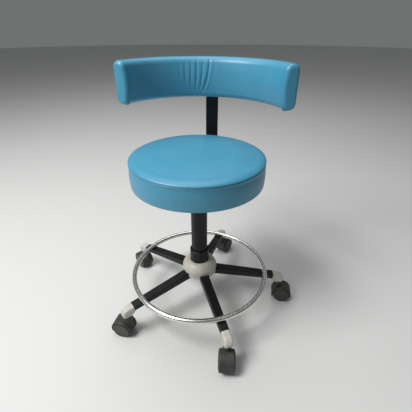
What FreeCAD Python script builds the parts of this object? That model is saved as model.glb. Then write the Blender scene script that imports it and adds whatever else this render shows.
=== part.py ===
import FreeCAD, Part
import os
import re

import Sketcher
from FreeCAD import Placement, Rotation, Vector

doc = FreeCAD.newDocument("surgeon_stool")
sheet = doc.addObject("Spreadsheet::Sheet", "Sizes")

# Driving dimensions, in millimetres and degrees. +Z is up, the backrest is towards +Y, and the origin is
# on the floor below the column.
SIZES = {
    # Fits and gaps
    "running_gap": 0.05,
    "seating_gap": 0.02,
    "free_gap": 0.4,
    "touch_gap": 0.1,
    "hole_room": 0.5,
    "tool_run": 1,
    "weld_sink": 1,
    # Casters
    "wheel_diameter": 55,
    "wheel_width": 18,
    "wheel_spacing": 13,
    "wheel_rim": 7,
    "wheel_hub_diameter": 18,
    "wheel_face": 3,
    "wheel_recess": 9,
    "wheel_dish": 1,
    "wheel_bevel": 1.5,
    "tread_round": 5,
    "axle_diameter": 6,
    "caster_trail": 18,
    "caster_height": 79,
    "caster_reach": 20,
    "hood_width": 46,
    "hood_wall": 4,
    "hood_web": 11,
    "hood_gap": 1.5,
    "hood_drop": 8,
    "hood_round": 5,
    "boss_diameter": 22,
    "stem_pin_diameter": 8,
    "stem_pin_length": 30,
    "stem_diameter": 11,
    "stem_length": 22,
    "stem_flange_diameter": 17,
    "stem_flange": 2.2,
    # Legs and foot ring
    "base_turn": 26.5,
    "leg_slope": 8,
    "leg_root_height": 129,
    "leg_root_radius": 55,
    "leg_root_sink": 6,
    "leg_reach": 248,
    "leg_root_width": 30,
    "leg_root_depth": 24,
    "leg_tip_width": 26,
    "leg_tip_depth": 17.5,
    "leg_wall": 1.6,
    "leg_corner": 3,
    "cap_width": 27,
    "cap_lip": 0.8,
    "cap_straight": 16,
    "cap_spigot": 18,
    "cap_tip_reach": 38,
    "cap_tip_rise": 9,
    "cap_heel": 10,
    "cap_toe": 2,
    "cap_nose_round": 22,
    "cap_round": 7,
    "ring_setback": 30,
    "foot_ring_tube": 16,
    "foot_ring_wall": 1.5,
    "ring_screw_diameter": 5,
    "ring_screw_head_diameter": 9,
    "ring_screw_head": 3,
    # Hub
    "hub_tube_diameter": 60,
    "hub_tube_bottom": 112,
    "hub_tube_top": 217,
    "hub_tube_bevel": 1.5,
    "hub_cover_diameter": 112,
    "hub_cover_bottom": 128,
    "hub_cover_shoulder": 150,
    "hub_cover_top": 174,
    "hub_cover_wall": 3,
    "hub_cover_dome": 30,
    "hub_cover_rim": 5,
    "hub_cover_draft": 1,
    # Gas lift
    "column_diameter": 50,
    "column_wall": 2,
    "column_bottom": 118,
    "column_gap": 24,
    "column_floor": 4,
    "bush_length": 72,
    "bush_flange": 2,
    "bush_step": 0.5,
    "rod_diameter": 10,
    "rod_tail": 4.5,
    "bearing_diameter": 28,
    "bearing_height": 4,
    "rod_collar_diameter": 14,
    "rod_collar": 3,
    "buffer_diameter": 21,
    "buffer_height": 20,
    "clip_diameter": 16,
    "clip_groove": 1,
    "clip_height": 1.8,
    "piston_drop": 33,
    "piston_height": 15,
    "piston_socket": 11,
    "cylinder_diameter": 28,
    "cylinder_wall": 1.5,
    "cylinder_length": 217,
    "cylinder_stand": 2,
    "cylinder_end": 12,
    "cylinder_plug": 27,
    "pin_diameter": 8,
    "pin_length": 25,
    "pin_stand": 6,
    "pin_hole_depth": 23,
    # Seat
    "seat_diameter": 371,
    "seat_underside": 463,
    "seat_board": 12,
    "seat_band": 64,
    "seat_band_step": 1,
    "seat_seam_step": 1.5,
    "seat_edge_rise": 13,
    "seat_edge_run": 22,
    "seat_edge_round": 28,
    "seat_crown": 18,
    "seat_band_round": 130,
    "seat_bottom_round": 4,
    "seat_turn_under": 14,
    "seam_width": 2.4,
    "seam_depth": 0.9,
    "cover_thickness": 1.5,
    # Tray under the seat
    "tray_length": 150,
    "tray_width": 130,
    "tray_flange": 20,
    "tray_wall": 3,
    "tray_depth": 38,
    "socket_diameter": 40,
    "socket_drop": 11,
    "socket_rise": 13,
    "seat_screw_diameter": 6,
    "seat_screw_head_diameter": 10,
    "seat_screw_head": 4,
    "seat_screw_reach": 9,
    "screw_head_bevel": 1,
    "screw_point": 0.6,
    # Lift lever
    "lever_diameter": 8,
    "lever_slope": 8,
    "lever_pivot": 28,
    "lever_inner": 34,
    "lever_outer": 112,
    "lever_gap": 0.9,
    "lever_pin_diameter": 5,
    "lever_grip_diameter": 16,
    "lever_grip_length": 50,
    "lever_grip_end": 3,
    "lever_grip_grasp": 30,
    "lever_slot_width": 11,
    "lever_slot_height": 20,
    "ear_thickness": 3,
    "ear_length": 12,
    "ear_spacing": 10,
    # Backrest bar and its guide
    "bar_width": 40,
    "bar_thickness": 8,
    "bar_bend": 16,
    "bar_end_inset": 13,
    "bar_top_inset": 14,
    "bar_round": 1.2,
    "guide_gap": 7,
    "guide_margin": 4.5,
    "guide_wing": 80,
    "guide_wing_length": 40,
    "guide_wall": 3,
    "guide_wing_edge": 3,
    "knob_inset": 38,
    "knob_diameter": 36,
    "knob_height": 20,
    "knob_flute_diameter": 10,
    "knob_neck_diameter": 16,
    "knob_neck": 4,
    "knob_grasp": 8,
    "knob_stand": 6,
    "stud_diameter": 8,
    "stud_boss_diameter": 16,
    "stud_boss": 8,
    # Backrest
    "back_outer_radius": 257,
    "back_thickness": 47,
    "back_rise": 180,
    "back_height": 119,
    "back_half_span": 73,
    "back_crown": 4,
    "back_front_round": 20,
    "back_rear_round": 14,
    "back_end_round": 12,
    "back_board": 10,
    "back_board_depth": 8,
    "back_board_margin": 13,
    "back_board_span_margin": 6,
    "bracket_width": 90,
    "bracket_height": 90,
    "bracket_screw_across": 72,
    "bracket_screw_up": 60,
    "bracket_wall": 3,
    "back_screw_length": 18,
}

# Lengths that follow from the driving dimensions.
FORMULAS = {
    "wheel_radius": "wheel_diameter / 2",
    "hood_bore": "wheel_radius + hood_gap",
    "hood_radius": "hood_bore + hood_wall",
    "boss_root_radius": "hood_radius - caster_trail",
    "cap_underside": "caster_height + free_gap + stem_flange",
    "caster_circle_radius": "leg_reach + caster_reach",
    "foot_ring_radius": "leg_reach - ring_setback",
    "leg_start": "hub_tube_diameter / 2 - leg_root_sink",
    "leg_length": "leg_reach / cos(leg_slope)",
    "leg_axis_height": "leg_root_height + leg_root_radius * tan(leg_slope)",
    "leg_tip_height": "leg_axis_height - leg_reach * tan(leg_slope)",
    "leg_taper": "(leg_root_depth - leg_tip_depth) / (leg_length - leg_start)",
    "spigot_inset": "leg_corner / 5",
    "leg_depth_at_ring": "leg_root_depth - leg_taper * (foot_ring_radius - leg_start)",
    "ring_lift": "leg_depth_at_ring / 2 + foot_ring_tube / 2 + touch_gap",
    "ring_station": "(foot_ring_radius - ring_lift * sin(leg_slope)) / cos(leg_slope)",
    "ring_height": "leg_axis_height - ring_station * sin(leg_slope) + ring_lift * cos(leg_slope)",
    "hub_radius": "hub_tube_diameter / 2",
    "cover_bore": "hub_radius + free_gap",
    "cover_radius": "hub_cover_diameter / 2",
    "tray_bottom": "seat_underside - tray_depth",
    "socket_bottom": "tray_bottom - socket_drop",
    "socket_top": "tray_bottom + socket_rise",
    "column_top": "socket_bottom - column_gap",
    "column_radius": "column_diameter / 2",
    "column_bore": "column_radius - column_wall",
    "rod_radius": "rod_diameter / 2",
    "rod_hole": "rod_radius + running_gap",
    "bearing_bottom": "column_bottom + column_floor + seating_gap",
    "bearing_top": "bearing_bottom + bearing_height",
    "collar_bottom": "bearing_top + touch_gap",
    "collar_top": "collar_bottom + rod_collar",
    "clip_top": "column_bottom - free_gap",
    "clip_bottom": "clip_top - clip_height",
    "clip_bore": "rod_radius - clip_groove",
    "piston_bottom": "column_top - piston_drop",
    "cylinder_top": "socket_top + cylinder_stand",
    "cylinder_bottom": "cylinder_top - cylinder_length",
    "cylinder_radius": "cylinder_diameter / 2",
    "cylinder_bore": "cylinder_radius - cylinder_wall",
    "pin_top": "cylinder_top + pin_stand",
    "board_top": "seat_underside + seat_board",
    "seam_height": "seat_underside + seat_band",
    "seat_radius": "seat_diameter / 2",
    "band_radius": "seat_radius - seat_band_step",
    "lever_radius": "lever_diameter / 2",
    "lever_over_pin": "pin_top + lever_gap + lever_radius / cos(lever_slope)",
    "lever_pivot_height": "lever_over_pin - lever_pivot * tan(lever_slope)",
    "lever_slot_drop": "(tray_length / 2 - lever_pivot) * tan(lever_slope)",
    "guide_start": "tray_width / 2 + tray_flange + guide_gap",
    "guide_length": "seat_radius - seat_turn_under - guide_margin - guide_start",
    "knob_station": "guide_start + knob_inset",
    "bar_inner_end": "guide_start + bar_end_inset",
    "bar_over": "seat_underside - guide_wall - free_gap",
    "bar_under": "bar_over - bar_thickness",
    "guide_bottom": "bar_under - free_gap - guide_wall",
    "bar_front": "back_outer_radius + touch_gap + bracket_wall + free_gap",
    "bar_rear": "bar_front + bar_thickness",
    "sleeve_front": "bar_front - free_gap - bracket_wall",
    "sleeve_rear": "bar_rear + free_gap + bracket_wall",
    "back_inner_radius": "back_outer_radius - back_thickness",
    "back_bottom": "seat_underside + back_rise",
    "back_top": "back_bottom + back_height",
    "bar_top": "back_top - bar_top_inset",
    "back_middle": "(back_bottom + back_top) / 2",
    "stud_radius": "stud_diameter / 2",
    "axle_half": "wheel_spacing / 2 + wheel_width - wheel_face - free_gap",
    "stud_length": "guide_wall + stud_boss + knob_stand + knob_neck + knob_grasp",
}

LEG_COUNT = 5
KNOB_FLUTES = 6
# Direction in which each caster trails, in degrees from +X, as the wheels happen to stand.
CASTER_YAWS = (-84, 0, 60, 140, 175)
ALONG = {
    "x": Rotation(Vector(0, 1, 0), 90),
    "y": Rotation(Vector(1, 0, 0), -90),
    "-y": Rotation(Vector(1, 0, 0), 90),
    "z": Rotation(),
}
ORIGIN = ("0", "0", "0")
UP = Vector(0, 0, 1)

for row, (alias, number) in enumerate(SIZES.items(), 1):
    sheet.set(f"A{row}", alias)
    sheet.set(f"B{row}", str(number))
    sheet.setAlias(f"B{row}", alias)
doc.recompute()

nodes = []


def bound(text):
    """A formula in plain names, written out in the cells of the sheet."""

    def cell(match):
        name = match[0]
        if name in SIZES:
            return f"Sizes.{name}"
        if name in FORMULAS:
            return f"({bound(FORMULAS[name])})"
        return name

    return re.sub(r"[a-z_]+", cell, text)


def value(text):
    return float(sheet.evalExpression(bound(text)))


def point(at):
    return Vector(*(value(text) for text in at))


def node(piece, label):
    """Names a finished piece of the stool."""
    piece.Label = label
    nodes.append(piece)
    return piece


def place(piece, at, along="z"):
    piece.Placement = Placement(point(at), ALONG[along])
    for letter, text in zip("xyz", at):
        piece.setExpression(f"Placement.Base.{letter}", bound(text))
    return piece


def cylinder(name, radius, height, at=ORIGIN, along="z"):
    piece = doc.addObject("Part::Cylinder", name)
    piece.setExpression("Radius", bound(radius))
    piece.setExpression("Height", bound(height))
    return place(piece, at, along)


def box(name, length, width, height, at):
    """A block centred on at in X and Y, standing on it in Z."""
    piece = doc.addObject("Part::Box", name)
    piece.setExpression("Length", bound(length))
    piece.setExpression("Width", bound(width))
    piece.setExpression("Height", bound(height))
    corner = (f"{at[0]} - ({length}) / 2", f"{at[1]} - ({width}) / 2", at[2])
    return place(piece, corner)


def fuse(name, *pieces):
    piece = doc.addObject("Part::MultiFuse", name)
    piece.Shapes = list(pieces)
    return piece


def cut(name, base, *tools):
    piece = doc.addObject("Part::Cut", name)
    piece.Base = base
    piece.Tool = tools[0] if len(tools) == 1 else fuse(f"{name}_tools", *tools)
    return piece


def copies(name, source, placements):
    """One piece, or a group of separate ones, with the shape of source moved to each placement."""
    doc.recompute()
    moved = []
    for placement in placements:
        shape = source.Shape.copy()
        shape.Placement = placement.multiply(shape.Placement)
        moved.append(shape)
    piece = doc.addObject("Part::Feature", name)
    piece.Shape = moved[0] if len(moved) == 1 else Part.makeCompound(moved)
    return piece


def arc_between(start, end, radius, side):
    """The short arc from start to end, with its centre on the left (1) or the right (-1) of the way."""
    chord = end - start
    across = Vector(-chord.y, chord.x, 0).normalize()
    reach = (radius**2 - (chord.Length / 2) ** 2) ** 0.5
    centre = (start + end) / 2 + across * side * reach
    middle = centre + ((start + end) / 2 - centre).normalize() * radius
    if side > 0:
        return Part.Arc(start, middle, end)
    return Part.Arc(end, middle, start)


def outline(body, name, plane, corners, lift="0"):
    """A closed sketch on an origin plane of the body, lifted along the plane's normal.

    A corner is (across, up), reached by a line, or (across, up, radius, side), reached by an arc.
    """
    sketch = body.newObject("Sketcher::SketchObject", name)
    support = next(part for part in body.Origin.OriginFeatures if part.Role == plane)
    sketch.AttachmentSupport = [(support, "")]
    sketch.MapMode = "FlatFace"
    sketch.setExpression("AttachmentOffset.Base.z", bound(lift))
    points = [Vector(value(corner[0]), value(corner[1]), 0) for corner in corners]
    ends = []
    for index, corner in enumerate(corners):
        start, end = points[index - 1], points[index]
        if len(corner) == 2:
            sketch.addGeometry(Part.LineSegment(start, end))
            ends.append((1, 2))
            continue
        radius, side = corner[2:]
        sketch.addGeometry(arc_between(start, end, value(radius), side))
        ends.append((1, 2) if side > 0 else (2, 1))
    for index, corner in enumerate(corners):
        following = (index + 1) % len(corners)
        sketch.addConstraint(
            Sketcher.Constraint("Coincident", index, ends[index][1], following, ends[following][0])
        )
        for kind, text in zip(("DistanceX", "DistanceY"), corner):
            number = sketch.addConstraint(
                Sketcher.Constraint(kind, -1, 1, index, ends[index][1], value(text))
            )
            sketch.setExpression(f"Constraints[{number}]", bound(text))
        if len(corner) > 2:
            number = sketch.addConstraint(Sketcher.Constraint("Radius", index, value(corner[2])))
            sketch.setExpression(f"Constraints[{number}]", bound(corner[2]))
    return sketch


def rounded(width, height, radius):
    """Corners of a rounded rectangle about the origin."""
    across, up = f"({width}) / 2", f"({height}) / 2"
    return [
        (f"{across} - {radius}", f"-{up}"),
        (across, f"{radius} - {up}", radius, 1),
        (across, f"{up} - {radius}"),
        (f"{across} - {radius}", up, radius, 1),
        (f"{radius} - {across}", up),
        (f"-{across}", f"{up} - {radius}", radius, 1),
        (f"-{across}", f"{radius} - {up}"),
        (f"{radius} - {across}", f"-{up}", radius, 1),
    ]


def revolved(name, corners, plane="XZ_Plane", sweep="360"):
    """A body turned about Z from an outline of (radius, height) corners."""
    body = doc.addObject("PartDesign::Body", name)
    profile = outline(body, f"{name}_profile", plane, corners)
    turned = body.newObject("PartDesign::Revolution", f"{name}_turned")
    turned.Profile = profile
    turned.ReferenceAxis = (profile, ["V_Axis"])
    turned.Midplane = True
    turned.setExpression("Angle", bound(sweep))
    return body


def ring(name, inner, outer, bottom, top):
    """A plain ring or washer about Z."""
    return revolved(name, [(inner, bottom), (outer, bottom), (outer, top), (inner, top)])


def padded_plate(name, plane, corners, width):
    """A body of an outline thickened evenly to both sides of its plane."""
    body = doc.addObject("PartDesign::Body", name)
    profile = outline(body, f"{name}_profile", plane, corners)
    extrude(body, "PartDesign::Pad", profile, width)
    return body


def extrude(body, kind, profile, width):
    feature = body.newObject(kind, f"{profile.Name}_depth")
    feature.Profile = profile
    feature.Midplane = True
    feature.setExpression("Length", bound(width))
    return feature


def round_edges(body, radius, chosen):
    """Rounds the edges of a body for which chosen holds."""
    doc.recompute()
    base = body.Tip
    names = [f"Edge{number}" for number, edge in enumerate(base.Shape.Edges, 1) if chosen(edge)]
    feature = body.newObject("PartDesign::Fillet", f"{body.Name}_round")
    feature.Base = (base, names)
    feature.setExpression("Radius", bound(radius))
    return feature


def turned_about_column(degrees):
    return Placement(Vector(), Rotation(UP, degrees))


def screw(name, diameter, head_diameter, head, length):
    """A screw standing on its head, with the underside of the head at its origin."""
    return revolved(
        name,
        [
            ("0", f"-{head}"),
            (f"{head_diameter} / 2 - screw_head_bevel", f"-{head}"),
            (f"{head_diameter} / 2", f"screw_head_bevel - {head}"),
            (f"{head_diameter} / 2", "0"),
            (f"{diameter} / 2", "0"),
            (f"{diameter} / 2", f"{length} - screw_point"),
            (f"{diameter} / 2 - screw_point", length),
            ("0", length),
        ],
    )


leg_directions = [value("base_turn") - 90 + 360 / LEG_COUNT * index for index in range(LEG_COUNT)]
leg_turns = [turned_about_column(direction) for direction in leg_directions]
leg_frame = Placement(point(("0", "0", "leg_axis_height")), Rotation(Vector(0, 1, 0), value("leg_slope")))


# Hub tube: the thick steel tube that the legs are welded to and the column is wedged in.
def make_hub_tube():
    bore = "column_radius + running_gap"
    corners = [
        (bore, "hub_tube_bottom"),
        ("hub_radius", "hub_tube_bottom"),
        ("hub_radius", "hub_tube_top - hub_tube_bevel"),
        ("hub_radius - hub_tube_bevel", "hub_tube_top"),
        (bore, "hub_tube_top"),
    ]
    node(revolved("hub_tube", corners), "hub_tube")


# Legs: five tapered rectangular steel tubes that slope down from the hub, drilled for the ring's screws.
def make_legs():
    body = doc.addObject("PartDesign::Body", "leg_tube")
    outside = ("PartDesign::AdditiveLoft", "0", "leg_corner")
    inside = ("PartDesign::SubtractiveLoft", "2 * leg_wall", "leg_corner / 2")
    for kind, inset, corner in (outside, inside):
        root = rounded(f"leg_root_width - {inset}", f"leg_root_depth - {inset}", corner)
        tip = rounded(f"leg_tip_width - {inset}", f"leg_tip_depth - {inset}", corner)
        first = outline(body, "leg_root", "YZ_Plane", root, "leg_start")
        second = outline(body, "leg_tip", "YZ_Plane", tip, "leg_length")
        loft = body.newObject(kind, "leg_skin")
        loft.Profile = first
        loft.Sections = [second]
        loft.Ruled = True
    body.Placement = leg_frame
    hub_space = cylinder("leg_hub_space", "hub_radius + touch_gap", "hub_tube_top")
    drill_at = ("ring_station", "0", "-leg_root_depth")
    drill = cylinder("leg_drill", "ring_screw_diameter / 2 + touch_gap", "2 * leg_root_depth", drill_at)
    leg = cut("leg", body, hub_space, copies("leg_screw_hole", drill, [leg_frame]))
    for number, turn in enumerate(leg_turns, 1):
        node(copies(f"leg_{number}", leg, [turn]), f"leg_{number}")


# Leg end caps: moulded plastic elbows pushed into the tube ends, each with the socket for a caster stem.
def make_leg_caps():
    top, side = "leg_tip_depth / 2 + cap_lip", "cap_width"
    along, fall = "cos(leg_slope)", "sin(leg_slope)"
    tip = "leg_reach + cap_tip_reach"
    corners = [
        (f"leg_reach - ({top}) * {fall}", f"leg_tip_height - ({top}) * {along}"),
        ("leg_reach + cap_heel", "cap_underside"),
        (f"{tip} - cap_toe", "cap_underside"),
        (tip, "cap_underside + cap_tip_rise"),
        (
            f"leg_reach + ({top}) * {fall} + cap_straight * {along}",
            f"leg_tip_height + ({top}) * {along} - cap_straight * {fall}",
            "cap_nose_round",
            1,
        ),
        (f"leg_reach + ({top}) * {fall}", f"leg_tip_height + ({top}) * {along}"),
    ]
    body = padded_plate("leg_cap", "XZ_Plane", corners, side)
    mouth, beyond_stem = value("leg_reach + cap_toe"), value("caster_circle_radius")
    sole, axis = value("cap_underside + cap_toe / 2"), value("leg_tip_height")

    def outer_rim(edge):
        middle = edge.valueAt((edge.FirstParameter + edge.LastParameter) / 2)
        on_side = edge.BoundBox.YLength < 1e-6
        outside = middle.x > beyond_stem or middle.z > axis
        return on_side and outside and middle.x > mouth and middle.z > sole

    round_edges(body, "cap_round", outer_rim)
    half = "leg_tip_depth / 2 - leg_wall - spigot_inset"
    near, far = "leg_length", "leg_length - cap_spigot"
    spigot = []
    for station, sign in ((far, -1), (near, -1), (near, 1), (far, 1)):
        out = f"({station}) * {along} + {sign} * ({half}) * {fall}"
        spigot.append((out, f"leg_axis_height - ({station}) * {fall} + {sign} * ({half}) * {along}"))
    profile = outline(body, "leg_cap_spigot", "XZ_Plane", spigot)
    extrude(body, "PartDesign::Pad", profile, "leg_tip_width - 2 * leg_wall - 2 * spigot_inset")
    socket_at = ("caster_circle_radius", "0", "cap_underside - tool_run")
    depth = "stem_length + tool_run + hole_room"
    socket = cylinder("leg_cap_socket", "stem_diameter / 2 + seating_gap", depth, socket_at)
    node(copies("leg_caps", cut("leg_cap_bored", body, socket), leg_turns), "leg_caps")


# Foot ring: a chromed round tube bent to a circle, lying on the legs and screwed to them from below.
def make_foot_ring():
    tori = []
    skin = ("ring_skin", "foot_ring_tube / 2")
    bore = ("ring_bore", "foot_ring_tube / 2 - foot_ring_wall")
    for name, radius in (skin, bore):
        torus = doc.addObject("Part::Torus", name)
        torus.setExpression("Radius1", bound("foot_ring_radius"))
        torus.setExpression("Radius2", bound(radius))
        tori.append(place(torus, ("0", "0", "ring_height")))
    drill_at = ("ring_station", "0", "ring_lift - foot_ring_tube")
    drill = cylinder("ring_drill", "ring_screw_diameter / 2 + seating_gap", "foot_ring_tube", drill_at)
    holes = copies("ring_holes", drill, [turn.multiply(leg_frame) for turn in leg_turns])
    node(cut("foot_ring", cut("ring_tube", *tori), holes), "foot_ring")
    length = "leg_depth_at_ring + foot_ring_tube / 2"
    ring_screw = screw(
        "ring_screw", "ring_screw_diameter", "ring_screw_head_diameter", "ring_screw_head", length
    )
    under = Placement(point(("ring_station", "0", "-leg_depth_at_ring / 2 - touch_gap")), Rotation())
    ring_screw.Placement = leg_frame.multiply(under)
    node(copies("foot_ring_screws", ring_screw, leg_turns), "foot_ring_screws")


# Hub cover: a cream moulded dome over the welded joint, slotted from below for the legs.
def make_hub_cover():
    rim, top = "cover_bore + hub_cover_rim", "hub_cover_top"
    inside = "cover_radius - hub_cover_wall"
    corners = [
        (inside, "hub_cover_bottom"),
        ("cover_radius - hub_cover_draft", "hub_cover_bottom"),
        ("cover_radius", "hub_cover_shoulder"),
        (rim, top, "hub_cover_dome", 1),
        ("cover_bore", top),
        ("cover_bore", f"{top} - hub_cover_wall"),
        (f"{rim} - hub_cover_draft", f"{top} - hub_cover_wall"),
        (inside, "hub_cover_shoulder - hub_cover_draft", "hub_cover_dome - hub_cover_wall", -1),
    ]
    body = revolved("hub_cover", corners)
    leg_top = "leg_axis_height + leg_root_depth / 2 + free_gap"
    near, far = "hub_radius", "cover_radius + hub_cover_rim"
    slot = [
        (near, "hub_cover_bottom - hub_cover_rim"),
        (far, "hub_cover_bottom - hub_cover_rim"),
        (far, f"{leg_top} - ({far}) * tan(leg_slope)"),
        (near, f"{leg_top} - {near} * tan(leg_slope)"),
    ]
    profile = outline(body, "hub_cover_slot", "XZ_Plane", slot)
    pocket = extrude(body, "PartDesign::Pocket", profile, "leg_root_width + 2 * free_gap")
    pattern = body.newObject("PartDesign::PolarPattern", "hub_cover_slots")
    pattern.Originals = [pocket]
    pattern.Axis = (profile, ["V_Axis"])
    pattern.Angle = 360
    pattern.Occurrences = LEG_COUNT
    body.Tip = pattern
    body.Placement = leg_turns[0]
    node(body, "hub_cover")


# Gas lift: outer tube with its guide bush and bearing, and the rod and piston that carry the seat's cylinder.
def make_gas_lift():
    floor = "column_bottom + column_floor"
    column = [
        ("rod_hole", "column_bottom"),
        ("column_radius", "column_bottom"),
        ("column_radius", "column_top"),
        ("column_bore", "column_top"),
        ("column_bore", floor),
        ("rod_hole", floor),
    ]
    node(revolved("column_tube", column), "column_tube")
    guide, sleeve = "cylinder_radius + running_gap", "column_bore - running_gap"
    flange_bottom = "column_top + seating_gap"
    bush = [
        (guide, "column_top - bush_length"),
        (sleeve, "column_top - bush_length"),
        (sleeve, flange_bottom),
        ("column_radius - bush_step", flange_bottom),
        ("column_radius - bush_step", "column_top + bush_flange"),
        (guide, "column_top + bush_flange"),
    ]
    node(revolved("guide_bush", bush), "guide_bush")
    bearing_bore, bearing_side = "rod_radius + free_gap", "bearing_diameter / 2"
    bearing = ring("thrust_bearing", bearing_bore, bearing_side, "bearing_bottom", "bearing_top")
    node(bearing, "thrust_bearing")
    rod_bottom, rod_top = "column_bottom - rod_tail", "piston_bottom + piston_socket - touch_gap"
    groove = "clip_bore - seating_gap"
    rod = [
        ("0", rod_bottom),
        ("rod_radius", rod_bottom),
        ("rod_radius", "clip_bottom - seating_gap"),
        (groove, "clip_bottom - seating_gap"),
        (groove, "clip_top + seating_gap"),
        ("rod_radius", "clip_top + seating_gap"),
        ("rod_radius", "collar_bottom"),
        ("rod_collar_diameter / 2", "collar_bottom"),
        ("rod_collar_diameter / 2", "collar_top"),
        ("rod_radius", "collar_top"),
        ("rod_radius", rod_top),
        ("0", rod_top),
    ]
    node(revolved("piston_rod", rod), "piston_rod")
    node(ring("rod_clip", "clip_bore", "clip_diameter / 2", "clip_bottom", "clip_top"), "rod_clip")
    buffer_bottom = "collar_top + seating_gap"
    buffer_top = f"{buffer_bottom} + buffer_height"
    buffer = ring("rod_buffer", "rod_hole", "buffer_diameter / 2", buffer_bottom, buffer_top)
    node(buffer, "rod_buffer")
    socket = "rod_radius + seating_gap"
    piston_side = "cylinder_bore - running_gap"
    piston = [
        (socket, "piston_bottom"),
        (piston_side, "piston_bottom"),
        (piston_side, "piston_bottom + piston_height"),
        ("0", "piston_bottom + piston_height"),
        ("0", "piston_bottom + piston_socket"),
        (socket, "piston_bottom + piston_socket"),
    ]
    node(revolved("piston", piston), "piston")
    pin_hole = "pin_diameter / 2 + running_gap"
    pin_floor = "cylinder_top - pin_hole_depth"
    gas_cylinder = [
        ("rod_hole", "cylinder_bottom"),
        ("cylinder_radius", "cylinder_bottom"),
        ("cylinder_radius", "cylinder_top"),
        (pin_hole, "cylinder_top"),
        (pin_hole, pin_floor),
        ("0", pin_floor),
        ("0", "cylinder_top - cylinder_plug"),
        ("cylinder_bore", "cylinder_top - cylinder_plug"),
        ("cylinder_bore", "cylinder_bottom + cylinder_end"),
        ("rod_hole", "cylinder_bottom + cylinder_end"),
    ]
    node(revolved("gas_cylinder", gas_cylinder), "gas_cylinder")
    pin = cylinder("release_pin", "pin_diameter / 2", "pin_length", ("0", "0", "pin_top - pin_length"))
    node(pin, "release_pin")


def seat_screw_places():
    """Where the screws enter the seat board: four through the tray's flange and two beside the bar guide."""
    flange_x = "tray_length / 2 + tray_flange / 2"
    flange_y = "tray_width / 2 - tray_flange / 2"
    tray = [(f"{a} * ({flange_x})", f"{b} * ({flange_y})") for a in (-1, 1) for b in (-1, 1)]
    wing_x = "guide_wing / 2 - seat_screw_head_diameter / 2 - guide_wing_edge"
    return tray + [(f"{a} * ({wing_x})", "knob_station") for a in (-1, 1)]


def screw_holes(name, places, gap, bottom, height):
    """Drill cylinders for the seat's screws."""
    radius = f"seat_screw_diameter / 2 + {gap}"
    return [cylinder(name, radius, height, (x, y, bottom)) for x, y in places]


# Seat: plywood board, foam and a vinyl cover with a sewn edge, turned under the board.
def make_seat():
    places = seat_screw_places()
    side = "band_radius - cover_thickness - running_gap"
    disc = cylinder("seat_disc", side, "seat_board", ("0", "0", "seat_underside"))
    depth = "seat_screw_reach + tool_run + hole_room"
    holes = screw_holes("board_hole", places, "seating_gap", "seat_underside - tool_run", depth)
    node(cut("seat_board", disc, *holes), "seat_board")
    skin = "cover_thickness"
    rim = "seat_radius - seat_edge_run"
    seam_side = "seat_radius - seat_seam_step"
    rise = "(seat_crown - seat_edge_rise)"
    crown_round = f"(({rim})^2 + {rise}^2) / (2 * {rise})"
    foam = [
        ("0", "board_top + seating_gap"),
        (f"band_radius - {skin}", "board_top + seating_gap"),
        (f"{seam_side} - {skin}", "seam_height", f"seat_band_round - {skin}", 1),
        (rim, f"seam_height + seat_edge_rise - {skin}", "seat_edge_round", 1),
        ("0", f"seam_height + seat_crown - {skin}", crown_round, 1),
    ]
    node(revolved("seat_foam", foam), "seat_foam")
    under = f"seat_underside - {skin}"
    turn_under = "seat_radius - seat_turn_under"
    cover = [
        (turn_under, under),
        ("band_radius - seat_bottom_round", under),
        ("band_radius", f"{under} + seat_bottom_round", "seat_bottom_round", 1),
        ("band_radius", "board_top"),
        (seam_side, "seam_height - seam_width / 2", "seat_band_round", 1),
        (f"{seam_side} - seam_depth", "seam_height"),
        (seam_side, "seam_height + seam_width / 2"),
        (rim, "seam_height + seat_edge_rise", "seat_edge_round", 1),
        ("0", "seam_height + seat_crown", crown_round, 1),
        ("0", f"seam_height + seat_crown - {skin}"),
        (rim, f"seam_height + seat_edge_rise - {skin}", crown_round, -1),
        (f"{seam_side} - {skin}", "seam_height", "seat_edge_round", -1),
        (f"band_radius - {skin}", "board_top", f"seat_band_round - {skin}", -1),
        (f"band_radius - {skin}", "seat_underside"),
        (turn_under, "seat_underside"),
    ]
    node(revolved("seat_cover", cover), "seat_cover")


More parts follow.
